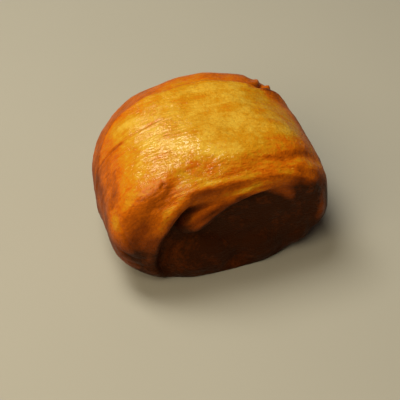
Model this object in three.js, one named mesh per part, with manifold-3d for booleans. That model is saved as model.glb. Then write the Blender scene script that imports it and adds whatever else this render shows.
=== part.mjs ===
// A sweet bun: a sheet of soft dough rolled up into one short, fat roll, laid on its side and baked whole.
//
// Millimetres, +Z up. The roll's axis runs along Y. Its front end, where the lip of the outer turn stands
// round the inner turn, faces -Y. The origin is the middle of the flat base that the bun was baked on.
// The turns fuse as they bake, so the bun is one solid.

import * as THREE from 'three';
import { mergeVertices } from 'three/addons/utils/BufferGeometryUtils.js';
import Module from 'manifold-3d';

// The whole roll. Its width and girth are those at mid-length, before the base is flattened.
const WIDTH = 87.4;
const GIRTH_HEIGHT = 61;
const AXIS_HEIGHT = 25.2;
const FRONT_REACH = 35;
const BACK_REACH = 35;
const SECTION_SQUARENESS = 2.3;

// The roll is this share wider at its front than at mid-length, and narrower by as much at its back.
const FRONT_FLARE = 0.03;

// The back reaches this much further at the left than at mid-width, and this much less at the right.
const BACK_SKEW = 2.2;

// Squareness of the roll's four corners, seen from above, and of its front at the top: 2 is round, and
// more is squarer.
const CORNERS = { frontLeft: 6.4, frontRight: 6, backLeft: 2.6, backRight: 5.2, topFront: 3.7 };

// The shoulder at the back right is pressed towards a plane: the way the plane faces, its distance from the
// roll's middle on the table, and the most that the crust stands out of it.
const SHOULDER_FACING = new THREE.Vector3(0.883, 0.161, 0.437);
const SHOULDER_REACH = 53.4;
const SHOULDER_PROUD = 1;

// The outer turn of the sheet stands this far proud of the turn inside it, where its back edge ends.
const SHEET_STEP = 1;

// The ball whose surface the outer turn's back edge follows over the top of the roll.
const BACK_EDGE = { x: 8, y: -60, z: 22, halfWidth: 110, halfLength: 82, halfHeight: 110 };

// The gap at the right end of the back edge, where the sheet stops short.
const PINCH = { x: 30.5, y: 20, z: 50, halfWidth: 3.5, halfLength: 4, halfHeight: 6 };

// The mouth inside the front lip, the plug of inner turns that fills it but for a groove at the left and
// top, and the shallow hollow in the face of the plug. The plug stands at most PLUG_PROUD out of the roll.
const MOUTH = { x: 6, y: -35, z: 20, halfWidth: 31.5, halfLength: 7, halfHeight: 27 };
const PLUG = { x: 8, y: -28, z: 17.5, halfWidth: 28.5, halfLength: 7, halfHeight: 25.5 };
const PLUG_PROUD = 0.8;
const HOLLOW = { x: 10, y: -40.5, z: 22, halfWidth: 22, halfLength: 9.5, halfHeight: 14 };

// The block that flattens the base.
const TRIM = { width: 120, depth: 20 };

// Facets round a mass of dough and along it.
const ROLL_FACETS = { around: 56, along: 32 };
const DETAIL_FACETS = { around: 36, along: 20 };

// Distance within which corners count as one.
const WELD = 1e-4;

const CRUST_COLOUR = 0xd98a2b;

const wasm = await Module();
wasm.setup();

// How far the edge of a superellipse with half-sizes of 1 is from its middle, towards the point (a, b).
function edgeDistance(a, b, squareness) {
  return (Math.abs(a) ** squareness + Math.abs(b) ** squareness) ** (-1 / squareness);
}

// The whole roll as one mass, set back from its full size by inset: a sphere with its poles on Y, drawn out
// to the roll's half-sizes with its own squareness at each corner, and pressed flat at its shoulder.
function rollGeometry(inset) {
  const geometry = new THREE.SphereGeometry(1, ROLL_FACETS.around, ROLL_FACETS.along);
  const points = geometry.getAttribute('position');
  const point = new THREE.Vector3();
  for (let i = 0; i < points.count; i += 1) {
    point.fromBufferAttribute(points, i);
    const radius = Math.hypot(point.x, point.z);
    const angle = Math.atan2(point.z, point.x);
    const sideways = Math.cos(angle);
    const upward = Math.sin(angle);
    const rightward = (sideways + 1) / 2;
    const isFront = point.y < 0;
    const left = isFront ? CORNERS.frontLeft : CORNERS.backLeft;
    const right = isFront ? CORNERS.frontRight : CORNERS.backRight;
    const sideCorner = THREE.MathUtils.lerp(left, right, rightward);
    const topShare = isFront ? Math.max(upward, 0) ** 2 : 0;
    const corner = THREE.MathUtils.lerp(sideCorner, CORNERS.topFront, topShare);
    const stretch = edgeDistance(radius, point.y, corner);
    const along = point.y * stretch;
    const spread = radius * stretch * edgeDistance(sideways, upward, SECTION_SQUARENESS);
    const halfWidth = (WIDTH / 2 - inset) * (1 - FRONT_FLARE * along);
    const halfHeight = GIRTH_HEIGHT / 2 - inset;
    const x = sideways * spread * halfWidth;
    const z = AXIS_HEIGHT + upward * spread * halfHeight;
    const backReach = BACK_REACH - BACK_SKEW * x / halfWidth;
    const reach = isFront ? FRONT_REACH - inset : backReach;
    point.set(x, along * reach, z);
    const over = Math.max(point.dot(SHOULDER_FACING) - SHOULDER_REACH + inset, 0);
    point.addScaledVector(SHOULDER_FACING, over / (1 + over / SHOULDER_PROUD) - over);
    points.setXYZ(i, point.x, point.y, point.z);
  }
  return geometry;
}

// A plain rounded mass.
function ballGeometry({ x, y, z, halfWidth, halfLength, halfHeight }) {
  const geometry = new THREE.SphereGeometry(1, DETAIL_FACETS.around, DETAIL_FACETS.along);
  geometry.scale(halfWidth, halfLength, halfHeight);
  geometry.translate(x, y, z);
  return geometry;
}

// A closed geometry as a solid that can be joined and cut.
function solid(geometry) {
  const bare = geometry.clone();
  bare.deleteAttribute('normal');
  bare.deleteAttribute('uv');
  const welded = mergeVertices(bare, WELD);
  return new wasm.Manifold(new wasm.Mesh({
    numProp: 3,
    vertProperties: new Float32Array(welded.getAttribute('position').array),
    triVerts: new Uint32Array(welded.getIndex().array),
  }));
}

// A solid back as a geometry, moved so that the middle of its base is at the origin.
function geometryOnBase(body) {
  const mesh = body.getMesh();
  const geometry = new THREE.BufferGeometry();
  geometry.setAttribute('position', new THREE.BufferAttribute(mesh.vertProperties, 3));
  geometry.setIndex(new THREE.BufferAttribute(mesh.triVerts, 1));
  geometry.computeBoundingBox();
  const { min, max } = geometry.boundingBox;
  geometry.translate(-(min.x + max.x) / 2, -(min.y + max.y) / 2, -min.z);
  geometry.computeVertexNormals();
  return geometry;
}

// The outer turn: the roll at its full size, as far back as the sheet's edge, open at the front.
function outerTurn() {
  const sheet = solid(rollGeometry(0)).intersect(solid(ballGeometry(BACK_EDGE)));
  return sheet.subtract(solid(ballGeometry(PINCH))).subtract(solid(ballGeometry(MOUTH)));
}

// The inner turns: the thinner roll that shows behind the outer turn, and the plug that fills its mouth.
function innerTurns() {
  const thinnerRoll = solid(rollGeometry(SHEET_STEP)).subtract(solid(ballGeometry(MOUTH)));
  const plugRoom = solid(rollGeometry(-PLUG_PROUD));
  const plug = solid(ballGeometry(PLUG)).intersect(plugRoom).subtract(solid(ballGeometry(HOLLOW)));
  return thinnerRoll.add(plug);
}

// The block below the base.
function trimmingBlock() {
  const geometry = new THREE.BoxGeometry(TRIM.width, TRIM.width, TRIM.depth);
  geometry.translate(0, 0, -TRIM.depth / 2);
  return solid(geometry);
}

const bun = new THREE.Mesh(
  geometryOnBase(outerTurn().add(innerTurns()).subtract(trimmingBlock())),
  new THREE.MeshStandardMaterial({ color: CRUST_COLOUR, roughness: 0.38, metalness: 0 }),
);
bun.name = 'bun';

const part = new THREE.Group();
part.add(bun);

export default part;
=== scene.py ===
"""A glazed sweet bun: a sheet of soft dough rolled into one short, fat roll, laid on its side and baked.

The roll's axis runs along Y, and its front end, with the lip of the outer turn round it, faces -Y.
The dough is shaped in millimetres, and the finished mesh is in metres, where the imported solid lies.
"""

import math

import bmesh
import bpy
import numpy as np
from mathutils import Matrix, Vector, noise


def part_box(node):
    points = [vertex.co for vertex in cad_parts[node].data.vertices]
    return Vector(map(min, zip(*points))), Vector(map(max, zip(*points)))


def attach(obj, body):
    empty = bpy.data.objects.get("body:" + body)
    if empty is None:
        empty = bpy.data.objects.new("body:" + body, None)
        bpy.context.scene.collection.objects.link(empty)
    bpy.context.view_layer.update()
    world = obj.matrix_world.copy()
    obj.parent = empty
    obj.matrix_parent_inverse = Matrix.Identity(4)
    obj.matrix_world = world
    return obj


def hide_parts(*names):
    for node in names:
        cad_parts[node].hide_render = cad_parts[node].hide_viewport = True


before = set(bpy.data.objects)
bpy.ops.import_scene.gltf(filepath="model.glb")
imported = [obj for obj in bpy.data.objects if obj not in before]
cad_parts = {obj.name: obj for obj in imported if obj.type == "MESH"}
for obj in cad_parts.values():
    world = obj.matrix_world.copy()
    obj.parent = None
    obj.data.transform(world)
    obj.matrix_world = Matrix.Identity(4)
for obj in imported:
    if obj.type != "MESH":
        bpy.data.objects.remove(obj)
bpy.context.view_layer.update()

bl_info = {
    "name": "Sweet Bun",
    "version": (1, 0, 0),
    "blender": (4, 5, 0),
    "location": "View3D > Sidebar > Bun",
    "description": "Shapes and glazes a rolled sweet bun, and sets a plain stage for it",
    "category": "Add Mesh",
}

MM = 0.001
BODY = "root"
BUN_NODE = "bun"

BUN_LOW, BUN_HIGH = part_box(BUN_NODE)
BUN_SIZE = (BUN_HIGH - BUN_LOW) / MM

# The roll, in millimetres. It flares towards its front, and is widest at this share of its front half. Its
# axis lies a little under half-way up, because the base is flattened.
FRONT_FLARE = 0.03
WIDEST_ALONG = 0.42
AXIS_SHARE = 0.4524
HALF_WIDTH = BUN_SIZE.x / 2 / (1 + FRONT_FLARE * WIDEST_ALONG)
AXIS_HEIGHT = BUN_SIZE.z * AXIS_SHARE
HALF_GIRTH = BUN_SIZE.z - AXIS_HEIGHT
FRONT_REACH = -BUN_LOW.y / MM
BACK_REACH = BUN_HIGH.y / MM

# The back reaches this much further at the left than at mid-width, and this much less at the right.
BACK_SKEW = 2.2

# Squareness of the roll's cross-section: 2 is round, and more is squarer.
SECTION_SQUARENESS = 2.3

# Squareness of the roll's four corners, seen from above, and of its front at the top.
FRONT_LEFT_CORNER, FRONT_RIGHT_CORNER = 6.4, 6.0
BACK_LEFT_CORNER, BACK_RIGHT_CORNER = 2.6, 5.2
TOP_FRONT_CORNER = 3.7

# Faces round the roll and rings along it, and the sizes of the even faces at the two coarser stages.
ROLL_SEGMENTS, ROLL_RINGS = 160, 120
MASS_GRAIN, FOLD_GRAIN = 0.9, 0.7

# The mouth inside the front lip, seen from the front, and how far its left and right sides are sunk.
MOUTH = {"x": 4.5, "z": 18.0, "half_width": 35.0, "half_height": 29.5}
MOUTH_DEEP, MOUTH_SHALLOW = 6.0, 3.0

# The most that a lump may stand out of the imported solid's box.
PROUD_LIMIT = 1.5

# Lines on the dough, each through a few places along it. Strands are (x, y, z, thickness), and strokes are
# (x, y, z, strength).
# The lip: the rolled edge of the outer turn, from its foot at the left over the top to the right.
LIP = [
    (-28.6, -29.0, 6, 1.6),
    (-29.6, -30.9, 12, 2.6),
    (-29.9, -31.8, 18.8, 3.3),
    (-28.2, -32.0, 27.3, 3.6),
    (-26.2, -32.1, 31.8, 3.7),
    (-24.2, -32.1, 35.6, 3.7),
    (-21.0, -32.0, 39.2, 3.7),
    (-17.3, -31.4, 42.5, 3.7),
    (-13.4, -30.8, 45.0, 3.6),
    (-8.6, -30.7, 45.4, 3.4),
    (-3.3, -30.6, 45.4, 3.4),
    (0.8, -30.5, 45.3, 3.3),
    (7.3, -30.2, 45.6, 3.2),
    (14.2, -29.6, 45.6, 3.3),
    (21.5, -29.8, 44.2, 3.4),
    (28.2, -29.5, 41.8, 3.4),
    (32.6, -29.8, 38.4, 3.3),
    (35.6, -29.6, 33.8, 3.1),
    (37.4, -28.6, 27, 2.8),
    (37.6, -27.2, 19, 2.2),
]

# Dough that fills the gap behind the lip and the tongue.
WEB = [
    (-15.5, -27.5, 36.5, 3.4),
    (-10.5, -29.6, 41.0, 4.0),
    (-5.0, -30.8, 42.0, 3.8),
    (0.5, -31.0, 42.8, 3.5),
    (7.0, -30.0, 43.8, 3.3),
    (14.0, -29.8, 44.0, 3.2),
]

# The trough between the lip and the top, which turns into a browned crease at the right.
LIP_TROUGH = [
    (-35.5, -32, 26, -0.3),
    (-32.2, -33.2, 34.5, -0.7),
    (-29.8, -32.3, 39.8, -0.9),
    (-26.9, -32.0, 41.9, -1.0),
    (-24, -31.7, 43.6, -1.0),
    (-21.1, -30.2, 47, -0.9),
    (-16.5, -27.6, 50.2, -0.7),
    (-9, -27.4, 50.7, -0.5),
    (0, -27.8, 51.0, -0.4),
    (7.8, -27.6, 51.2, -0.6),
    (15.3, -27.3, 50.3, -1.0),
    (23.1, -26.8, 48.0, -1.3),
    (31.5, -24.6, 45.2, -1.3),
    (38.4, -22.6, 40.0, -0.9),
]

# The slit between the lip and the turn inside it.
GROOVE = [
    (-25.4, -33, 8, -0.8),
    (-25.0, -32, 15.3, -1.2),
    (-22.5, -32, 23.4, -1.8),
    (-19.4, -32, 31.1, -2.4),
    (-17, -32, 33.6, -2.4),
    (-13.7, -32, 37.5, -1.2),
    (-9.2, -32.5, 40.4, -0.5),
    (-4.2, -32.8, 42.0, -0.3),
    (2.4, -32.8, 43.5, -0.2),
    (8.6, -32.6, 44.8, -0.1),
]

# The second turn: a tongue of dough whose tip hangs in the mouth. It merges into the lip at the right.
TONGUE = [
    (-15.4, -30.6, 28.6, 3.9),
    (-12.2, -31.1, 29.2, 4.0),
    (-9.8, -31.5, 31.8, 4.0),
    (-7.4, -31.9, 34.8, 3.8),
    (-4.0, -32.1, 37.2, 3.6),
    (-0.8, -32.2, 39.0, 3.4),
    (3.2, -32.3, 40.6, 3.3),
    (7.9, -32.0, 41.8, 3.2),
    (12.5, -31.4, 42.4, 3.1),
    (17.2, -30.8, 42.6, 3.1),
    (23.0, -30.0, 42.0, 3.1),
]

# Lumps of dough in the mouth: the tongue's tip, the low lobes of the inner turns, and the right cheek.
# Each has its middle, its half-sizes and its lean in degrees.
LOBES = [
    ((-13.8, -29.6, 30), (4.6, 4.4, 4.2), 0),
    ((-9.5, -26.3, 8.5), (17, 8.4, 14), 0),
    ((13.5, -26, 9), (13, 7.6, 12.5), -8),
    ((3, -25, 11), (11, 7.2, 11), 0),
    ((9, -25.8, 22), (12, 6.2, 7), 0),
    ((29.2, -22.7, 10.8), (10.3, 9.3, 9.8), 0),
]

# The seam over the left shoulder, where a thin outer layer stretched and let go.
SEAM = [
    (-42.0, 0.8, 35, -0.2),
    (-40, 0.5, 39.5, -0.35),
    (-37, 0.3, 43.5, -0.6),
    (-34.5, 0.1, 46.2, -0.9),
    (-33.0, 0, 47.4, -0.8),
    (-30.5, 0.2, 49.0, -0.35),
    (-25.5, 1.0, 51.5, -0.4),
    (-21.0, 1.4, 53.0, -0.6),
    (-17.5, 1.5, 53.9, -0.4),
    (-11, 1.2, 55.0, -0.1),
]

# The back edge of the outer turn, from the left foot over the top to the right.
BACK_EDGE = [
    (-42.5, -3, 22, 0.3),
    (-42.5, 0, 30, 0.6),
    (-41.5, 4, 36, 0.9),
    (-38.8, 9, 40.6, 1.2),
    (-33, 14.8, 45.7, 1.3),
    (-21, 17.7, 51.9, 0.8),
    (-10, 18.5, 54.3, 0.5),
    (2, 20, 54.8, 0.4),
    (15, 18.1, 54, 0.5),
    (24, 16, 51.6, 0.8),
    (30, 15.4, 48.7, 1.3),
    (37, 14.5, 42, 1.0),
    (41, 14, 34, 0.5),
]

# The gap at the right end of the back edge, pressed in between two pinched-up horns. The last value of
# each is the width of its stroke.
PINCH = [
    ([(24.5, 14.2, 51.6, -0.4), (28.4, 15.4, 49.6, -1.3), (30.4, 18.4, 47.6, -2.0)], 1.2),
    ([(25.6, 17.4, 50.6, 0.5), (28.2, 19.0, 48.9, 1.2), (28.8, 21.5, 47.2, 1.2)], 1.3),
    ([(32.4, 16.6, 47.2, 0.8), (33.0, 19.0, 45.8, 1.3)], 1.1),
]

# The dimple at the left of the lip.
DIMPLE = [(-23.3, -27.9, 49.1, -0.55), (-24.2, -28.8, 47.9, -0.45)]

# Pale dabs, where the oven hardly coloured the dough, and brown ones. Some of the brown ones are
# painted shade: in the trough inside the lip, beside and below the mouth at the right, and low at the front
# left.
PALE_DABS = [
    [(10, -9, 55, 0.5), (15, -7, 54.7, 0.3)],
    [(-26, 8, 51, 0.7), (-33.5, 8, 46.5, 0.8), (-38, 4.5, 42, 0.4)],
    [(-18, -4, 53.8, 0.3), (-26, -12, 51, 0.5), (-29, -17, 49, 0.3)],
    [(-41, -24.3, 39, 0.3), (-41.8, -26, 35.5, 0.9), (-41.8, -28, 31.5, 0.9), (-41.5, -29.3, 27, 0.4)],
    [(-26, -6, 52, 0.3), (-16, -12, 53, 0.45), (-6, -18, 53, 0.45), (4, -20, 52.5, 0.3)],
    [(0, 12, 55.3, 0.3), (12, 9, 55.2, 0.4), (24, 5, 52, 0.3)],
    [(28, -13, 50.9, 0.4), (30, -17, 49.5, 0.3)],
]
BROWN_AND_SHADE_DABS = [
    [(17, -18, 52, 0.2), (25, -18.5, 50.8, 0.6), (32, -19, 47.5, 0.5), (36, -20, 43, 0.25)],
    [(30.5, 14, 48.4, 0.6), (32, 12, 47.6, 0.6), (35, 8, 45, 0.3)],
    [(-24, 13.5, 50.8, 0.4), (-30, 11.5, 48.3, 0.5), (-36, 6.5, 44, 0.4)],
    [(-37, -12, 44, 0.3), (-39.5, -18, 41, 0.4), (-39, -22, 41, 0.3)],
    [(-34.3, -27.9, 44.2, 0.2), (-29, -28.9, 46.3, 0.2), (-24, -28.5, 48.5, 0.25)],
    # Painted shade in the trough inside the lip at the left.
    [(-34.5, -33, 18, 0.3), (-34.5, -32.8, 27, 0.35), (-32, -33.2, 33, 0.3)],
    [(-36, -6, 44.5, 0.3), (-36, 3, 44.8, 0.4), (-37.5, 6, 43, 0.3), (-40, -10, 40, 0.3)],
    [(22, -2, 53, 0.25), (24, 2, 52.3, 0.3)],
    # Painted shade beside and below the mouth at the right, down to the base.
    [
        (30, -33, 39, 0.4),
        (35, -32.5, 36.5, 0.9),
        (35, -32.5, 29, 1.2),
        (34, -31.5, 20, 1.0),
        (32, -30, 10, 0.7),
    ],
    [(23, -33, 41, 0.5), (28, -33, 37, 1.0), (30, -32, 31, 1.2), (29, -32, 24, 0.6)],
    [(39, -29, 36, 0.5), (40, -29, 30, 0.8), (40, -28, 22, 0.9), (38, -28, 12, 0.9)],
    [(40.5, -20, 39, 0.3), (42.5, -16, 33, 0.4)],
    [(35.5, 9, 45, 0.3), (38.5, 0, 43, 0.6), (39.5, -8, 42, 0.6), (40, -15, 41, 0.3)],
    [(13, -30.5, 49, 0.15), (22, -30, 47.5, 0.25), (30, -29, 45, 0.3)],
    # Painted shade low at the front left and on the foot of the lip.
    [(-40, -20, 22, 0.3), (-40, -29, 20, 0.3), (-37, -32, 19, 0.4), (-32, -34, 16, 0.5)],
    [(-41, -29, 24, 0.2), (-38.5, -32, 24, 0.3), (-35, -33.5, 22, 0.3)],
    [(-38, -31, 36, 0.15), (-37.8, -32.5, 32, 0.3), (-37.5, -33, 28, 0.2)],
    [(-38, -10, 42, 0.1), (-39.5, -17.7, 41.3, 0.2), (-41, -21, 37, 0.2)],
    [(31.4, 13, 48.3, 0.3), (34, 13, 46, 0.4), (36, 10, 44, 0.3)],
    # Painted shade at the foot of the front left.
    [(-36, -28, 6, 0.6), (-31, -32, 7, 0.8), (-26, -32, 6, 0.8)],
    [(-43, 0, 33, 0.4), (-44, -10, 32, 0.4), (-43.5, -20, 30, 0.4)],
    [(24, -24, 49, 0.4), (28, -24, 48, 0.7), (33, -23.5, 45, 0.3), (37, -25, 40, 0.3)],
]

# The belly at the left, and the slack behind the top at the back left.
LEFT_BELLY = [(-42.5, -16, 24, 0.4), (-43, -4, 23, 0.9), (-43, 6, 23, 0.9), (-41, 14, 23, 0.4)]
BACK_LEFT_SLACK = [
    (-31, 19, 45, -0.3),
    (-23, 24, 47.5, -1.3),
    (-15, 26.5, 48.5, -0.9),
    (-6, 28, 49.5, -0.1),
]

# The shoulder at the back right is pressed towards a plane: the way the plane faces, its distance from the
# origin, and the most that the crust stands out of it.
SHOULDER_FACING = (0.883, 0.161, 0.437)
SHOULDER_REACH = 52.8
SHOULDER_PROUD = 1

# Short folds in the low left of the front corner.
CORNER_FOLDS = [
    [(-42, -29, 23, -0.2), (-39.5, -31, 20.5, -0.5), (-36, -33, 18.5, -0.5), (-32.5, -34, 18, -0.2)],
    [(-41.5, -29, 17, -0.2), (-37, -32.4, 14, -0.4), (-32, -33.5, 12.5, -0.2)],
    [(-40.5, -27, 36, -0.2), (-38, -29.5, 30, -0.4), (-37, -30.5, 25, -0.2)],
]

# Fine folds along the tongue.
TONGUE_FOLDS = [
    [(-13, -35, 31, -0.15), (-8, -35.5, 35.5, -0.3), (-2, -35.5, 39, -0.15)],
    [(-10, -35, 29, -0.15), (-5, -35.5, 33.5, -0.3), (2, -35.5, 38, -0.15)],
    [(3, -35, 41, -0.15), (11, -35, 43, -0.3), (20, -34.5, 43, -0.15)],
]

# The turns seen in the back end, as one winding groove from the outside to the middle.
BACK_TURNS = [
    (20, 33, 3, -0.3),
    (31, 33, 9, -1.0),
    (34, 33, 20, -1.6),
    (30, 33, 32, -1.8),
    (18, 33, 40, -1.8),
    (3, 33, 42.5, -1.9),
    (-11, 33, 40, -2.0),
    (-21, 33, 32, -2.1),
    (-24, 33, 21, -2.0),
    (-18, 34, 11, -1.9),
    (-5, 35, 7, -1.9),
    (9, 35, 8.5, -2.0),
    (18, 35, 16, -2.0),
    (18, 35, 26, -1.9),
    (9, 35, 32, -1.8),
    (-3, 35, 31.5, -1.7),
    (-10, 35, 24, -1.6),
    (-6, 35, 17, -1.5),
    (3, 35, 17.5, -1.2),
    (6, 35, 22.5, -0.6),
]

# The middle of their height, and how much wider and taller the swelling round them is drawn.
BACK_MIDDLE = 22
SWELL_WIDER, SWELL_TALLER = 1.1, 1.14

# The grain runs round this place in the cross-section, given from the roll's axis.
GRAIN_RIGHT, GRAIN_DOWN = 2, 3

# It turns into the ends between these distances from mid-length, and runs this far to their middle.
GRAIN_TURN_FROM, GRAIN_TURN_TO = 24, 34
GRAIN_END_LENGTH = 24

# The radius to which the roll's cross-section is scaled for the grain, so that it is round.
GRAIN_RADIUS = 30

# How dark the crust is drawn, from 0 for pale to 1 for dark, mixing the oven's browning with painted shade:
# the top; what is added where the crust turns to the side, partly browning and partly painted shade;
# painted shade where it turns to the front or comes near the base; and browning behind the back edge. The
# outside goes no further than the limit, before the painted shade of the mouth and the foot, and the drawn
# dabs, are added.
TOP_BROWNING = 0.17
SIDE_BROWNING_AND_SHADE = 0.42
FRONT_PAINTED_SHADE = 0.08
LOW_PAINTED_SHADE = 0.2
BAND_BROWNING = 0.36
OUTSIDE_LIMIT = 0.62
MOUTH_PAINTED_SHADE = 0.4
FOOT_PAINTED_SHADE = 0.32

# Where the most glaze was brushed on: its middle in x and y, how far it spreads, and the share elsewhere.
GLAZE_MIDDLE = (-10, -12)
GLAZE_SPREAD = (26, 18)
THIN_GLAZE = 0.2


# ---------------------------------------------------------------------------------------------------------
# Shaping helpers
# ---------------------------------------------------------------------------------------------------------


def edge_distance(a, b, squareness):
    """How far the edge of a superellipse with half-sizes of 1 lies from its middle, towards (a, b)."""
    return (np.abs(a) ** squareness + np.abs(b) ** squareness) ** (-1 / squareness)


def roll_points(directions):
    """The points of the whole roll's surface that lie towards unit directions with their poles on Y."""
    radius = np.hypot(directions[:, 0], directions[:, 2])
    angle = np.arctan2(directions[:, 2], directions[:, 0])
    sideways, upward = np.cos(angle), np.sin(angle)
    rightward = (sideways + 1) / 2
    is_front = directions[:, 1] < 0
    front = FRONT_LEFT_CORNER + (FRONT_RIGHT_CORNER - FRONT_LEFT_CORNER) * rightward
    front += (TOP_FRONT_CORNER - front) * np.maximum(upward, 0) ** 2
    back = BACK_LEFT_CORNER + (BACK_RIGHT_CORNER - BACK_LEFT_CORNER) * rightward
    stretch = edge_distance(radius, directions[:, 1], np.where(is_front, front, back))
    along = directions[:, 1] * stretch
    spread = radius * stretch * edge_distance(sideways, upward, SECTION_SQUARENESS)
    share = sideways * spread
    x = share * HALF_WIDTH * (1 - FRONT_FLARE * along)
    y = along * np.where(is_front, FRONT_REACH, BACK_REACH - BACK_SKEW * share)
    z = AXIS_HEIGHT + upward * spread * HALF_GIRTH
    return np.stack([x, y, z], axis=1)


def smooth_step(value, low, high):
    """Rises gently from 0 at the low limit to 1 at the high one."""
    share = np.clip((value - low) / (high - low), 0, 1)
    return share * share * (3 - 2 * share)


def smooth_path(points, steps=10):
    """A curve through a few points. Any further columns, such as a strength, follow it."""
    spots = np.array(points, float)
    padded = np.vstack([2 * spots[0] - spots[1], spots, 2 * spots[-1] - spots[-2]])
    curve = []
    for a, b, c, d in zip(padded, padded[1:], padded[2:], padded[3:]):
        for t in np.arange(steps) / steps:
            bend = (2 * a - 5 * b + 4 * c - d) * t**2 + (3 * b - a - 3 * c + d) * t**3
            curve.append((2 * b + (c - a) * t + bend) / 2)
    curve.append(spots[-1])
    return np.array(curve)


def soft(share):
    """The profile of a rounded stroke."""
    return np.exp(-(share**2))


def crisp(share):
    """The profile of a stroke with a sharp middle line."""
    return np.exp(-1.6 * share) * (1 - smooth_step(share, 1.6, 3.0))


class Skin:
    """The bun's skin while it is shaped: a mesh whose points are moved by strokes along drawn lines."""

    def __init__(self, mesh):
        self.mesh = mesh
        found = np.empty(len(mesh.vertices) * 3, np.float32)
        mesh.vertices.foreach_get("co", found)
        self.points = found.reshape(-1, 3).astype(float)

    def store(self):
        self.mesh.vertices.foreach_set("co", self.points.astype(np.float32).ravel())
        self.mesh.update()

    def normals(self):
        self.store()
        found = np.empty(len(self.points) * 3, np.float32)
        self.mesh.vertex_normals.foreach_get("vector", found)
        return found.reshape(-1, 3).astype(float)

    def laid(self, path):
        """A smooth curve through the points of the skin that lie nearest to a drawn line."""
        spots = np.array(path, float)
        for spot in spots:
            spot[:3] = self.points[np.argmin(((self.points - spot[:3]) ** 2).sum(axis=1))]
        return smooth_path(spots)

    def near(self, path, reach):
        """Which points lie near a line, how far off, the nearest spots on it, and the line's way there."""
        curve = self.laid(path)
        low = curve[:, :3].min(axis=0) - reach
        high = curve[:, :3].max(axis=0) + reach
        chosen = np.flatnonzero(((self.points > low) & (self.points < high)).all(axis=1))
        spots = self.points[chosen]
        best = np.full(len(chosen), np.inf)
        closest = np.zeros((len(chosen), curve.shape[1]))
        way = np.zeros((len(chosen), 3))
        for start, end in zip(curve, curve[1:]):
            step = (end - start)[:3]
            share = np.clip((spots - start[:3]) @ step / (step @ step), 0, 1)
            spot = start + share[:, None] * (end - start)
            distance = np.linalg.norm(spots - spot[:, :3], axis=1)
            nearer = distance < best
            best[nearer] = distance[nearer]
            closest[nearer] = spot[nearer]
            way[nearer] = step
        kept = best < reach
        return chosen[kept], best[kept], closest[kept], way[kept]

    def stroke(self, path, width, profile=soft, direction=None):
        """Raises the skin along a line by its strength, or presses it in where that is negative."""
        chosen, distance, closest, _ = self.near(path, width * 3)
        heading = self.normals()[chosen] if direction is None else np.array(direction, float)
        self.points[chosen] += (closest[:, 3] * profile(distance / width))[:, None] * heading

    def beyond(self, path, edge, fade):
        """Which points lie on the right-hand side of a line, and how much, fading away from it."""
        chosen, distance, closest, way = self.near(path, fade)
        side = np.cross(way, self.normals()[chosen])
        side /= np.linalg.norm(side, axis=1, keepdims=True)
        across = ((self.points[chosen] - closest[:, :3]) * side).sum(axis=1)
        share = smooth_step(across, -edge, edge) * (1 - smooth_step(distance, fade * 0.4, fade))
        return chosen, closest[:, 3] * share

    def step_down(self, path, edge, fade):
        """Lowers the skin beyond a line by its strength, sharply at the line."""
        chosen, depth = self.beyond(path, edge, fade)
        self.points[chosen] -= depth[:, None] * self.normals()[chosen]

    def mark(self, path, width):
        """How strongly each point is marked by a line, as its strength times the stroke's profile."""
        marks = np.zeros(len(self.points))
        chosen, distance, closest, _ = self.near(path, width * 3)
        marks[chosen] = np.abs(closest[:, 3]) * soft(distance / width)
        return marks


def remeshed(mesh, grain):
    """The mesh as even small quads, with everything inside its outer skin gone."""
    holder = bpy.data.objects.new("dough_holder", mesh)
    bpy.context.scene.collection.objects.link(holder)
    remesh = holder.modifiers.new("Even skin", "REMESH")
    remesh.mode = "VOXEL"
    remesh.voxel_size = grain
    remesh.adaptivity = 0
    graph = bpy.context.evaluated_depsgraph_get()
    result = bpy.data.meshes.new_from_object(holder.evaluated_get(graph))
    bpy.data.objects.remove(holder)
    bpy.data.meshes.remove(mesh)
    return result


def smoothed(mesh, passes):
    """The mesh after some passes that bring each point half-way to the middle of its neighbours."""
    shape = bmesh.new()
    shape.from_mesh(mesh)
    for _ in range(passes):
        bmesh.ops.smooth_vert(
            shape, verts=shape.verts, factor=0.5, use_axis_x=True, use_axis_y=True, use_axis_z=True
        )
    shape.to_mesh(mesh)
    shape.free()
    return mesh


def moved(path, right=0, back=0, up=0, scale=1):
    """A line moved by some millimetres, with its strengths scaled."""
    return [(x + right, y + back, z + up, strength * scale) for x, y, z, strength in path]


def even(path):
    """A line with a strength of 1 all along it."""
    return [(x, y, z, 1) for x, y, z, _ in path]


def add_ball(shape, centre, half_sizes, lean=0, subdivisions=4):
    """Adds a rounded lump of dough, leant over by degrees about Y."""
    turned = Matrix.Translation(centre) @ Matrix.Rotation(math.radians(lean), 4, "Y")
    place = turned @ Matrix.Diagonal((*half_sizes, 1))
    bmesh.ops.create_icosphere(shape, subdivisions=subdivisions, radius=1, matrix=place)


def add_strand(shape, path, steps=4):
    """Adds a strand of dough along a line of (x, y, z, thickness), as a close row of balls."""
    for x, y, z, thickness in smooth_path(path, steps):
        add_ball(shape, (x, y, z), (thickness,) * 3, subdivisions=2)


# ---------------------------------------------------------------------------------------------------------
# The bun's shape
# ---------------------------------------------------------------------------------------------------------


def rolled_mass():
    """The whole roll as one smooth mass."""
    shape = bmesh.new()
    bmesh.ops.create_uvsphere(shape, u_segments=ROLL_SEGMENTS, v_segments=ROLL_RINGS, radius=1)
    bmesh.ops.rotate(shape, cent=(0, 0, 0), matrix=Matrix.Rotation(math.pi / 2, 3, "X"), verts=shape.verts)
    directions = np.array([vert.co for vert in shape.verts])
    for vert, place in zip(shape.verts, roll_points(directions)):
        vert.co = place
    mesh = bpy.data.meshes.new("bun_mesh")
    shape.to_mesh(mesh)
    shape.free()
    return mesh


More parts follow.
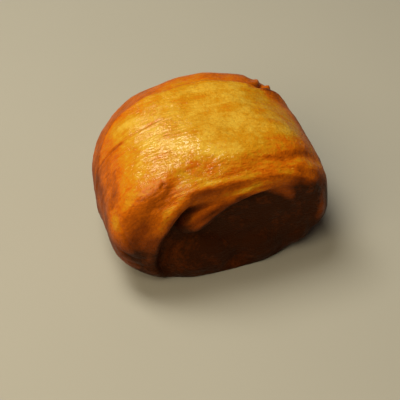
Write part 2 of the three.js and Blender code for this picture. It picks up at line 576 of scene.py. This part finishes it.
def open_mouth(skin):
    """Sinks the front end inside the lip: deep at the left, shallower at the right."""
    x, y, z = skin.points.T
    across = (x - MOUTH["x"]) / MOUTH["half_width"]
    upward = (z - MOUTH["z"]) / MOUTH["half_height"]
    leftward = smooth_step(-across, -0.6, 0.9)
    depth = MOUTH_SHALLOW + (MOUTH_DEEP - MOUTH_SHALLOW) * leftward
    inside = 1 - smooth_step(np.hypot(across, upward), 0.86, 1.0)
    at_front = smooth_step(-y, 15, 25) * smooth_step(z, -2, 8)
    skin.points[:, 1] += depth * inside * at_front


def press_shoulder(skin):
    """Flattens the shoulder at the back right."""
    over = np.maximum(skin.points @ np.array(SHOULDER_FACING) - SHOULDER_REACH, 0)
    skin.points -= (over - over / (1 + over / SHOULDER_PROUD))[:, None] * np.array(SHOULDER_FACING)


def add_turns(mesh):
    """Puts the lip round the mouth, and the folds of the inner turns into it."""
    shape = bmesh.new()
    add_strand(shape, LIP)
    add_strand(shape, WEB)
    add_strand(shape, TONGUE)
    for centre, half_sizes, lean in LOBES:
        add_ball(shape, centre, half_sizes, lean)
    shape.from_mesh(mesh)
    shape.to_mesh(mesh)
    shape.free()


def fold_ends(mesh):
    """Presses in the slit inside the lip and the trough outside it, and winds the back end."""
    skin = Skin(mesh)
    skin.stroke(LIP_TROUGH, 2.6)
    skin.stroke(GROOVE, 1.2, crisp, direction=(0.3, -0.95, 0))
    skin.stroke(BACK_TURNS, 1.7, crisp, direction=(0, 1, 0))
    swelling = [
        (x * SWELL_WIDER, y, BACK_MIDDLE + (z - BACK_MIDDLE) * SWELL_TALLER, -0.4 * depth)
        for x, y, z, depth in BACK_TURNS
    ]
    skin.stroke(swelling, 2.6)
    skin.store()


def crease_skin(skin):
    """Draws the smaller folds on the finished skin."""
    skin.step_down(BACK_EDGE[::-1], edge=0.5, fade=20)
    skin.stroke(moved(BACK_EDGE, back=-1.2, scale=0.25), 1.1)
    skin.stroke(SEAM, 0.6, crisp)
    skin.stroke(moved(SEAM, back=-1.2, scale=-0.35), 1.1)
    skin.stroke(DIMPLE, 0.9)
    skin.stroke(LEFT_BELLY, 9)
    skin.stroke(BACK_LEFT_SLACK, 6)
    for fold in CORNER_FOLDS:
        skin.stroke(fold, 0.9)
    for fold in TONGUE_FOLDS:
        skin.stroke(fold, 0.8)
    for path, width in PINCH:
        skin.stroke(path, width)


def grain_of(points):
    """Each point's place on the rolled sheet: x and z go round the roll, y along it and in at its ends."""
    x, y, z = points.T
    sideways = (x - GRAIN_RIGHT) / HALF_WIDTH
    upward = (z - AXIS_HEIGHT + GRAIN_DOWN) / HALF_GIRTH
    at_end = smooth_step(np.abs(y), GRAIN_TURN_FROM, GRAIN_TURN_TO)
    along = y + np.sign(y) * at_end * (1 - np.hypot(sideways, upward)) * GRAIN_END_LENGTH
    return np.stack([sideways * GRAIN_RADIUS, along, upward * GRAIN_RADIUS], axis=1)


def layered_noise(points, scale, octaves, seed):
    """Smooth noise from -1 to 1 at each point, with a different scale along each axis."""
    shift = Vector((seed * 7.31, seed * 3.17, seed * 5.77))
    spots = points / np.array(scale, float)
    return np.array([noise.fractal(Vector(spot) + shift, 0.8, 2.0, octaves) for spot in spots])


def roughen(skin, shape):
    """Gives the smooth skin its lumps, stretch lines and fine wrinkles."""
    grain = grain_of(skin.points)
    lumps = layered_noise(skin.points, (17, 17, 17), 2, 1) * shape.lumps / MM
    lines = layered_noise(grain, (30, 5, 30), 2, 2) * shape.stretch_lines / MM
    wrinkles = layered_noise(grain, (3.2, 1.6, 3.2), 2, 3) * shape.wrinkles / MM
    pits = layered_noise(skin.points, (2.0, 2.0, 2.0), 1, 4) * shape.pits / MM
    skin.points += (lumps + lines + wrinkles + pits)[:, None] * skin.normals()


def flatten_base(skin):
    """Rests the bun on a flat base."""
    skin.points[:, 2] = np.maximum(skin.points[:, 2], 0)


def keep_in_box(skin):
    """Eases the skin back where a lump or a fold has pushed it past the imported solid's box."""
    for axis, (low, high) in enumerate(zip(BUN_LOW, BUN_HIGH)):
        middle, half = (low + high) / 2 / MM, (high - low) / 2 / MM
        offset = skin.points[:, axis] - middle
        over = np.maximum(np.abs(offset) - half, 0)
        skin.points[:, axis] -= np.sign(offset) * (over - over / (1 + over / PROUD_LIMIT))


def shape_bun(shape):
    """The bun's finished skin, in millimetres."""
    mesh = remeshed(rolled_mass(), MASS_GRAIN)
    mass = Skin(mesh)
    open_mouth(mass)
    press_shoulder(mass)
    mass.store()
    add_turns(mesh)
    mesh = smoothed(remeshed(mesh, FOLD_GRAIN), 5)
    fold_ends(mesh)
    mesh = smoothed(remeshed(mesh, shape.grain / MM), 2)
    skin = Skin(mesh)
    crease_skin(skin)
    roughen(skin, shape)
    keep_in_box(skin)
    flatten_base(skin)
    skin.store()
    return skin


def store_values(mesh, name, values):
    """Stores one value on each point of the mesh, for the crust to read."""
    attribute = mesh.attributes.new(name, "FLOAT", "POINT")
    attribute.data.foreach_set("value", values.astype(np.float32))


def browning_and_shade_strokes():
    """The lines that brown the crust or paint shade on it, or leave it paler where the share is below 0,
    with their widths.
    """
    tongue = [(x, y - 2, z + 2, 0.8 if x < 0 else 0.65) for x, y, z, _ in TONGUE[1:]]
    return (
        [(dab, 3.4, -0.28) for dab in PALE_DABS]
        + [(dab, 3.2, 0.4) for dab in BROWN_AND_SHADE_DABS]
        + [
            (LIP_TROUGH, 3.0, 0.05),
            # Painted shade on the foot of the lip, low at the front left.
            (moved(even(LIP[:4]), right=-1, back=-2), 3.0, 0.2),
            (moved(even(LIP[4:8]), right=-1, back=-2), 2.2, -0.1),
            (moved(even(LIP[:7]), right=2, back=-3), 1.3, 0.22),
            (moved(even(LIP[8:16]), back=-2, up=1), 2.6, 0.15),
            (BACK_EDGE, 1.6, 0.08),
            (DIMPLE, 1.2, 0.15),
            (SEAM, 1.0, 0.35),
            (LEFT_BELLY, 12, 0.14),
        ]
        + [(fold, 1.2, 0.1) for fold in CORNER_FOLDS]
        + [(fold, 0.8, 0.6) for fold in TONGUE_FOLDS]
        # The tongue is left paler, taking back part of the mouth's painted shade.
        + [(tongue, 4.0, -0.4)]
    )


def crease_shade_strokes():
    """The lines of the creases that are darkened with painted shade, with their widths and shares."""
    return [
        (GROOVE, 2.2, 0.7),
        (SEAM, 0.6, 0.3),
        (moved(BACK_EDGE, back=0.8), 0.9, 0.12),
    ]


def mark_crust(skin):
    """Stores on each point its browning with painted shade mixed in, its painted crease shade, how much
    glaze it has, and its grain.
    """
    normals = skin.normals()
    x, y, z = skin.points.T

    # How much each point faces sideways, lies near the base, lies in the mouth and faces forward. These
    # steer the browning and the painted shade.
    side = np.clip((0.97 - normals[:, 2]) / 0.65, 0, 1)
    low = 1 - smooth_step(z, 2, 33)
    across = (x - MOUTH["x"] + 2.5) / MOUTH["half_width"]
    upward = (z - MOUTH["z"]) / MOUTH["half_height"]
    in_mouth = (1 - smooth_step(np.hypot(across, upward), 0.74, 0.9)) * smooth_step(-y, 22, 28)
    forward = smooth_step(-normals[:, 1], 0.2, 0.7)

    # The side term is partly browning and partly painted shade; the front and low terms are painted shade.
    browning_and_shade = TOP_BROWNING + SIDE_BROWNING_AND_SHADE * side + FRONT_PAINTED_SHADE * forward + LOW_PAINTED_SHADE * low
    behind, share = skin.beyond(BACK_EDGE[::-1], edge=3.0, fade=24)
    browning_and_shade[behind] += BAND_BROWNING * np.minimum(1.6 * share, 1)
    # Painted shade inside the mouth and near the base is added past the limit.
    browning_and_shade = np.minimum(browning_and_shade, OUTSIDE_LIMIT) + MOUTH_PAINTED_SHADE * in_mouth + FOOT_PAINTED_SHADE * low
    for path, width, share in browning_and_shade_strokes():
        browning_and_shade += share * skin.mark(path, width)

    # Painted shade in the creases: the slit inside the lip, the seam and the line behind the back edge.
    crease_shade = np.zeros(len(x))
    for path, width, share in crease_shade_strokes():
        crease_shade = np.maximum(crease_shade, np.minimum(share * skin.mark(path, width), 1))

    brushed = np.exp(
        -(((x - GLAZE_MIDDLE[0]) / GLAZE_SPREAD[0]) ** 2) - ((y - GLAZE_MIDDLE[1]) / GLAZE_SPREAD[1]) ** 2
    )
    on_top = smooth_step(normals[:, 2], 0.4, 0.85)
    glaze = (THIN_GLAZE + (1 - THIN_GLAZE) * brushed) * (1 - in_mouth) * on_top

    store_values(skin.mesh, "browning_and_shade", np.clip(browning_and_shade, 0, 1))
    store_values(skin.mesh, "crease_shade", np.clip(crease_shade, 0, 1))
    store_values(skin.mesh, "glaze", glaze)
    grain = skin.mesh.attributes.new("grain", "FLOAT_VECTOR", "POINT")
    grain.data.foreach_set("vector", grain_of(skin.points).astype(np.float32).ravel())


# ---------------------------------------------------------------------------------------------------------
# The crust
# ---------------------------------------------------------------------------------------------------------


# The shine of the crust itself and of its coat of glaze, and the depth of the relief of each, in metres.
SHINE = 0.12
SHINE_TINT = (1, 0.75, 0.4, 1)
CRUST_RELIEF = 0.0004
GLAZE_ROUGHNESS = 0.13
GLAZE_RELIEF = 0.00055


class Nodes:
    """Places and links shader nodes in one tree."""

    def __init__(self, tree):
        self.tree = tree

    def add(self, kind, inputs=None, **settings):
        node = self.tree.nodes.new(kind)
        for name, value in settings.items():
            setattr(node, name, value)
        for name, value in (inputs or {}).items():
            self.set(node.inputs[name], value)
        return node

    def set(self, socket, value):
        if isinstance(value, bpy.types.NodeSocket):
            self.tree.links.new(value, socket)
        else:
            socket.default_value = value

    def math(self, operation, a, b=0.0, c=0.0):
        node = self.add("ShaderNodeMath", operation=operation)
        for socket, value in zip(node.inputs, (a, b, c)):
            self.set(socket, value)
        return node.outputs[0]

    def noise(self, place, scale, stretch=(1, 1, 1), detail=3.0, roughness=0.5, distortion=0.0, shift=0.0):
        """A noise pattern. A shift of its own keeps it from repeating another one."""
        offset = (shift, shift * 0.7, shift * 1.3)
        mapped = self.add("ShaderNodeMapping", {"Vector": place, "Scale": stretch, "Location": offset})
        node = self.add(
            "ShaderNodeTexNoise",
            {
                "Vector": mapped.outputs[0],
                "Scale": scale,
                "Detail": detail,
                "Roughness": roughness,
                "Distortion": distortion,
            },
        )
        return node.outputs["Fac"]

    def span(self, value, low, high, to_low=0.0, to_high=1.0, kind="SMOOTHSTEP"):
        """A value's place between two limits, as a value between two others."""
        node = self.add(
            "ShaderNodeMapRange",
            {"Value": value, "From Min": low, "From Max": high, "To Min": to_low, "To Max": to_high},
            interpolation_type=kind,
        )
        return node.outputs[0]

    def ramp(self, value, stops):
        node = self.add("ShaderNodeValToRGB", {"Fac": value})
        elements = node.color_ramp.elements
        while len(elements) < len(stops):
            elements.new(0.5)
        for element, (position, colour) in zip(elements, stops):
            element.position = position
            element.color = (*colour, 1)
        return node.outputs["Color"]

    def mix(self, share, first, second):
        """A colour between two. The node has several sockets of each name, so they go by their places."""
        node = self.add("ShaderNodeMix", data_type="RGBA")
        self.set(node.inputs[0], share)
        self.set(node.inputs[6], first)
        self.set(node.inputs[7], second)
        return node.outputs[2]


def crust_material(crust):
    """Baked crust coloured by the browning, painted shade and crease shade stored on the mesh, under a
    brushed glaze.
    """
    material = bpy.data.materials.new("baked_crust")
    material.use_nodes = True
    nodes = Nodes(material.node_tree)
    shader = material.node_tree.nodes["Principled BSDF"]

    browning_and_shade = nodes.add("ShaderNodeAttribute", attribute_name="browning_and_shade").outputs["Fac"]
    crease_shade = nodes.add("ShaderNodeAttribute", attribute_name="crease_shade").outputs["Fac"]
    glaze = nodes.add("ShaderNodeAttribute", attribute_name="glaze").outputs["Fac"]
    grain = nodes.add("ShaderNodeAttribute", attribute_name="grain").outputs["Vector"]
    place = nodes.add("ShaderNodeTexCoord").outputs["Object"]

    # Broad bands and thin streaks run along the sheet. Blotches and pebbles lie on the crust as they fell.
    bands = nodes.noise(grain, 1.0, (0.035, 0.16, 0.035), detail=2, distortion=0.5, shift=7)
    streaks = nodes.noise(grain, 1.0, (0.16, 0.8, 0.16), detail=3, roughness=0.6, distortion=0.6)
    blotches = nodes.noise(place, 150, detail=4, roughness=0.6, distortion=0.3, shift=3)
    pebbles = nodes.noise(place, 900, detail=2, shift=5)

    unevenness = 0.0
    for pattern, amount in ((bands, 0.35), (streaks, 0.3), (blotches, 0.7), (pebbles, 0.35)):
        unevenness = nodes.math("MULTIPLY_ADD", nodes.math("SUBTRACT", pattern, 0.5), amount, unevenness)

    # The darker the bake, the more even its colour.
    calm = nodes.span(browning_and_shade, 0.4, 0.85, 1.0, 0.35, "LINEAR")
    bake = nodes.math("MULTIPLY_ADD", unevenness, calm, browning_and_shade)
    colour = nodes.ramp(
        bake,
        [
            (0.0, crust.pale),
            (0.22, crust.golden),
            (0.5, crust.amber),
            (0.78, crust.brown),
            (1.0, crust.dark),
        ],
    )
    # Painted shade darkens the creases towards the dark colour.
    colour = nodes.mix(nodes.math("MULTIPLY", crease_shade, 0.8), colour, (*crust.dark, 1))

    # Pale specks of flour show on the paler crust.
    specks = nodes.span(nodes.noise(place, 620, detail=1, shift=8), 0.73, 0.77)
    specks = nodes.math("MULTIPLY", specks, nodes.span(browning_and_shade, 0.35, 0.6, 0.5, 0.0))
    colour = nodes.mix(specks, colour, (*crust.pale, 1))
    nodes.set(shader.inputs["Base Color"], colour)

    gloss = nodes.noise(place, 260, detail=3, shift=9)
    nodes.set(shader.inputs["Roughness"], nodes.span(gloss, 0.3, 0.7, 0.36, 0.56, "LINEAR"))

    # The relief of the crust itself.
    folds = nodes.noise(grain, 1.0, (0.22, 0.5, 0.22), detail=2, distortion=0.8, shift=6)
    wrinkles = nodes.noise(grain, 1.0, (0.9, 1.1, 0.9), detail=2, roughness=0.6, distortion=0.5, shift=2)
    pores = nodes.noise(place, 1500, detail=1, shift=4)
    height = nodes.math("MULTIPLY_ADD", pores, 0.4, nodes.math("MULTIPLY_ADD", folds, 0.6, wrinkles))
    bump = nodes.add("ShaderNodeBump", {"Height": height, "Strength": 1.0, "Distance": CRUST_RELIEF})
    nodes.set(shader.inputs["Normal"], bump.outputs["Normal"])

    shader.inputs["Specular IOR Level"].default_value = SHINE
    shader.inputs["Specular Tint"].default_value = SHINE_TINT

    # The glaze, with the relief of its brush lines and small beads.
    nodes.set(shader.inputs["Coat Weight"], glaze)
    shader.inputs["Coat Roughness"].default_value = GLAZE_ROUGHNESS
    beads = nodes.noise(place, 700, detail=1, distortion=0.3, shift=12)
    brush_lines = nodes.noise(grain, 1.0, (0.22, 0.8, 0.22), detail=2, distortion=0.6, shift=10)
    film = nodes.math("MULTIPLY_ADD", beads, 0.45, brush_lines)
    glaze_bump = nodes.add("ShaderNodeBump", {"Height": film, "Strength": 1.0, "Distance": GLAZE_RELIEF})
    nodes.set(shader.inputs["Coat Normal"], glaze_bump.outputs["Normal"])
    return material


# ---------------------------------------------------------------------------------------------------------
# Settings
# ---------------------------------------------------------------------------------------------------------


class BunShapeSettings(bpy.types.PropertyGroup):
    grain: bpy.props.FloatProperty(
        name="Skin grain",
        description="Size of the small faces of the skin",
        default=0.58 * MM,
        unit="LENGTH",
    )
    lumps: bpy.props.FloatProperty(
        name="Lumps", description="Height of the broad lumps of the dough", default=0.7 * MM, unit="LENGTH"
    )
    stretch_lines: bpy.props.FloatProperty(
        name="Stretch lines",
        description="Height of the lines along the sheet",
        default=0.22 * MM,
        unit="LENGTH",
    )
    wrinkles: bpy.props.FloatProperty(
        name="Wrinkles",
        description="Height of the fine wrinkles of the glaze",
        default=0.10 * MM,
        unit="LENGTH",
    )
    pits: bpy.props.FloatProperty(
        name="Pits", description="Depth of the small pits of the crust", default=0.08 * MM, unit="LENGTH"
    )


def colour_property(name, description, default):
    return bpy.props.FloatVectorProperty(
        name=name, description=description, default=default, size=3, min=0, max=1, subtype="COLOR"
    )


class CrustSettings(bpy.types.PropertyGroup):
    pale: colour_property("Pale", "Dough that the oven hardly coloured", (0.82, 0.49, 0.05))
    golden: colour_property("Golden", "The glazed top", (0.69, 0.305, 0.008))
    amber: colour_property("Amber", "The sides and lips", (0.68, 0.15, 0.002))
    # The brown and dark colours also show the painted shade near the base, in the mouth and in the creases.
    brown: colour_property("Brown", "Edges and folds near the base", (0.30, 0.055, 0.002))
    dark: colour_property("Dark", "The deepest creases", (0.045, 0.009, 0.0012))


class StageSettings(bpy.types.PropertyGroup):
    floor: colour_property("Floor", "The plain floor", (0.50, 0.49, 0.48))
    key_power: bpy.props.FloatProperty(
        name="Key light", description="Power of the soft light overhead", default=4.6, unit="POWER"
    )
    front_power: bpy.props.FloatProperty(
        name="Front light", description="Power of the soft light above the front", default=3.1, unit="POWER"
    )
    fill_power: bpy.props.FloatProperty(
        name="Fill light", description="Power of the soft light at the left", default=0.6, unit="POWER"
    )
    azimuth: bpy.props.FloatProperty(
        name="Camera azimuth",
        description="Turn of the camera",
        default=math.radians(-16.6),
        subtype="ANGLE",
    )
    elevation: bpy.props.FloatProperty(
        name="Camera elevation",
        description="Camera's height angle",
        default=math.radians(43),
        subtype="ANGLE",
    )


# ---------------------------------------------------------------------------------------------------------
# Operators
# ---------------------------------------------------------------------------------------------------------


class SWEETBUN_OT_bake(bpy.types.Operator):
    """Shape the bun from rolled dough and give it its baked crust"""

    bl_idname = "sweetbun.bake"
    bl_label = "Bake Bun"

    def execute(self, context):
        skin = shape_bun(context.scene.bun_shape)
        mark_crust(skin)
        mesh = skin.mesh
        if not mesh.polygons:
            raise RuntimeError("The dough came out empty, so there is no bun to bake")
        mesh.transform(Matrix.Scale(MM, 4))
        mesh.materials.append(crust_material(context.scene.bun_crust))
        mesh.shade_smooth()
        bun = bpy.data.objects.new("baked_bun", mesh)
        context.scene.collection.objects.link(bun)
        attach(bun, BODY)
        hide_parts(BUN_NODE)
        return {"FINISHED"}


# The stage is sized from the bun: the point that the camera's angles are measured to, and its distance.
LOOK_AT = Vector((0, 0, 0.025))
LENS = 110
SENSOR = 36
CAMERA_DISTANCE = 0.489

# How far to the left of that point and below it the camera is aimed.
AIM_LEFT, AIM_DOWN = 0.0011, 0.0119

# The soft lights: the way from the bun to each, how far off it is, its width and height, and its colour.
KEY_LIGHT = ((-0.26, 0.3, 0.92), 0.8, (0.26, 0.5), (1, 0.93, 0.7))
FRONT_LIGHT = ((-0.5, -0.4, 0.77), 0.8, (0.6, 0.5), (1, 0.84, 0.52))
FILL_LIGHT = ((-0.9, 0.1, 0.4), 0.9, (0.5, 0.4), (1, 0.72, 0.3))

# The light of the room all round.
ROOM_COLOUR = (1, 0.93, 0.85, 1)
ROOM_STRENGTH = 0.02

# The floor reaches this far each way, and its mottling darkens it to this share.
FLOOR_REACH = 4
FLOOR_MOTTLE = 0.96
FLOOR_ROUGHNESS = 0.75


def add_floor(scene, colour):
    """Lays a plain, slightly mottled floor under the bun."""
    shape = bmesh.new()
    bmesh.ops.create_grid(shape, x_segments=1, y_segments=1, size=FLOOR_REACH)
    mesh = bpy.data.meshes.new("floor")
    shape.to_mesh(mesh)
    shape.free()
    material = bpy.data.materials.new("plain_floor")
    material.use_nodes = True
    nodes = Nodes(material.node_tree)
    shader = material.node_tree.nodes["Principled BSDF"]
    place = nodes.add("ShaderNodeTexCoord").outputs["Object"]
    mottle = nodes.noise(place, 14, detail=4)
    darker = tuple(channel * FLOOR_MOTTLE for channel in colour)
    nodes.set(shader.inputs["Base Color"], nodes.mix(mottle, (*colour, 1), (*darker, 1)))
    shader.inputs["Roughness"].default_value = FLOOR_ROUGHNESS
    mesh.materials.append(material)
    floor = bpy.data.objects.new("floor", mesh)
    scene.collection.objects.link(floor)


def add_soft_light(scene, name, power, light):
    """Hangs a soft lamp that faces the bun."""
    direction, distance, size, colour = light
    data = bpy.data.lights.new(name, "AREA")
    data.shape = "RECTANGLE"
    data.size, data.size_y = size
    data.energy = power
    data.color = colour
    lamp = bpy.data.objects.new(name, data)
    way = Vector(direction).normalized()
    lamp.location = LOOK_AT + way * distance
    lamp.rotation_mode = "QUATERNION"
    lamp.rotation_quaternion = way.to_track_quat("Z", "Y")
    scene.collection.objects.link(lamp)


def add_camera(scene, azimuth, elevation):
    """Sets the camera at its angles and aims it so that the bun stands a little off the middle."""
    back = Vector(
        (
            math.sin(azimuth) * math.cos(elevation),
            -math.cos(azimuth) * math.cos(elevation),
            math.sin(elevation),
        )
    )
    right = Vector((math.cos(azimuth), math.sin(azimuth), 0))
    up = back.cross(right)
    data = bpy.data.cameras.new("camera")
    data.sensor_width = SENSOR
    data.lens = LENS
    camera = bpy.data.objects.new("camera", data)
    camera.location = LOOK_AT + back * CAMERA_DISTANCE
    aim = LOOK_AT - right * AIM_LEFT - up * AIM_DOWN
    camera.rotation_mode = "QUATERNION"
    camera.rotation_quaternion = (camera.location - aim).to_track_quat("Z", "Y")
    scene.collection.objects.link(camera)
    scene.camera = camera


class SWEETBUN_OT_stage(bpy.types.Operator):
    """Set the plain floor, the soft lights and the camera"""

    bl_idname = "sweetbun.stage"
    bl_label = "Set Stage"

    def execute(self, context):
        scene = context.scene
        stage = scene.bun_stage
        add_floor(scene, stage.floor)
        add_soft_light(scene, "key", stage.key_power, KEY_LIGHT)
        add_soft_light(scene, "front", stage.front_power, FRONT_LIGHT)
        add_soft_light(scene, "fill", stage.fill_power, FILL_LIGHT)
        world = bpy.data.worlds.new("studio")
        world.use_nodes = True
        background = world.node_tree.nodes["Background"]
        background.inputs["Color"].default_value = ROOM_COLOUR
        background.inputs["Strength"].default_value = ROOM_STRENGTH
        scene.world = world
        scene.view_settings.view_transform = "Standard"
        add_camera(scene, stage.azimuth, stage.elevation)
        return {"FINISHED"}


class SWEETBUN_PT_panel(bpy.types.Panel):
    bl_label = "Sweet Bun"
    bl_idname = "SWEETBUN_PT_panel"
    bl_space_type = "VIEW_3D"
    bl_region_type = "UI"
    bl_category = "Bun"

    def draw(self, context):
        layout = self.layout
        for settings in (context.scene.bun_shape, context.scene.bun_crust, context.scene.bun_stage):
            column = layout.column(align=True)
            for name in settings.__annotations__:
                column.prop(settings, name)
        layout.operator(SWEETBUN_OT_bake.bl_idname)
        layout.operator(SWEETBUN_OT_stage.bl_idname)


CLASSES = (
    BunShapeSettings,
    CrustSettings,
    StageSettings,
    SWEETBUN_OT_bake,
    SWEETBUN_OT_stage,
    SWEETBUN_PT_panel,
)


def register():
    for cls in CLASSES:
        bpy.utils.register_class(cls)
    bpy.types.Scene.bun_shape = bpy.props.PointerProperty(type=BunShapeSettings)
    bpy.types.Scene.bun_crust = bpy.props.PointerProperty(type=CrustSettings)
    bpy.types.Scene.bun_stage = bpy.props.PointerProperty(type=StageSettings)


def unregister():
    del bpy.types.Scene.bun_stage
    del bpy.types.Scene.bun_crust
    del bpy.types.Scene.bun_shape
    for cls in reversed(CLASSES):
        bpy.utils.unregister_class(cls)


def main():
    register()
    bpy.ops.sweetbun.bake()
    bpy.ops.sweetbun.stage()


if __name__ == "__main__":
    main()
